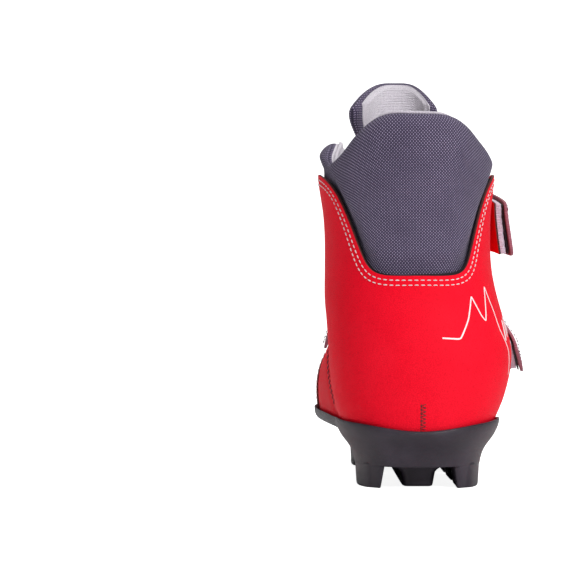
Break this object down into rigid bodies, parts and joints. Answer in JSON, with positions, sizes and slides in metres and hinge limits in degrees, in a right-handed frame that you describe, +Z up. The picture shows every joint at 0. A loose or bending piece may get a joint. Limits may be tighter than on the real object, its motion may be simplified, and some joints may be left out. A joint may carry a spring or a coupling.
{
  "type": "cross country boot",
  "caption": "Child's cross country ski boot, right foot: padded collar, tall tongue, hook-and-loop straps and a grooved sole with a steel toe bar.",
  "frame": {"origin": "on the floor, at the middle of the boot's footprint box, with its closed straps", "axes": "+X to the outer side of the right foot, +Y to the toe, +Z up"},
  "size_m": [0.1062, 0.2311, 0.1951],
  "materials": {
    "red_leather": "smooth synthetic leather, fine grain, low gloss",
    "collar_textile": "grey woven textile over foam",
    "plush_lining": "pale ribbed plush",
    "sole_rubber": "moulded, semi-matte",
    "strap_band": "woven tape",
    "loop_pile": "brushed loop pile",
    "hook_tape": "moulded hooks",
    "bar_steel": "drawn steel",
    "insole_board": "pressed fibre board",
    "stiffener": "thermoplastic sheet",
    "footbed_foam": "foam with a cloth face"
  },
  "bodies": {
    "boot": {"sole_cup": "sole_rubber", "heel_lug_outer": "sole_rubber", "heel_lug_inner": "sole_rubber", "arch_lug_outer": "sole_rubber", "arch_lug_inner": "sole_rubber", "ball_lug_outer": "sole_rubber", "ball_lug_inner": "sole_rubber", "toe_lug_outer": "sole_rubber", "toe_lug_inner": "sole_rubber", "centre_rib": "sole_rubber", "toe_ear_outer": "sole_rubber", "toe_ear_inner": "sole_rubber", "toe_bar": "bar_steel", "shank": "bar_steel", "insole_board": "insole_board", "footbed": "footbed_foam", "quarter": "red_leather", "vamp": "red_leather", "toe_cap": "red_leather", "heel_counter": "stiffener", "toe_puff": "stiffener", "collar_pad": "collar_textile", "heel_lining": "plush_lining", "vamp_lining": "plush_lining", "upper_loop_pad": "loop_pile", "lower_loop_pad": "loop_pile"},
    "tongue_flap": {"tongue": "collar_textile", "tongue_lining": "plush_lining"},
    "upper_band": {"upper_strap": "strap_band", "upper_strap_hook": "hook_tape"},
    "lower_band": {"lower_strap": "strap_band", "lower_strap_hook": "hook_tape"}
  },
  "joints": [
    {"name": "tongue_tilt", "type": "hinge", "parent": "boot", "child": "tongue_flap", "pos_m": [-0.0068, 0.0534, 0.076], "axis": [1, 0, 0], "range_deg": [0, 5]},
    {"name": "upper_strap_swing", "type": "hinge", "parent": "boot", "child": "upper_band", "pos_m": [-0.0468, -0.0179, 0.125], "axis": [-0.1025, -0.1431, 0.9844], "range_deg": [0, 105]},
    {"name": "lower_strap_swing", "type": "hinge", "parent": "boot", "child": "lower_band", "pos_m": [-0.0457, 0.0184, 0.0678], "axis": [0.164, -0.8672, 0.4701], "range_deg": [0, 75]}
  ]
}
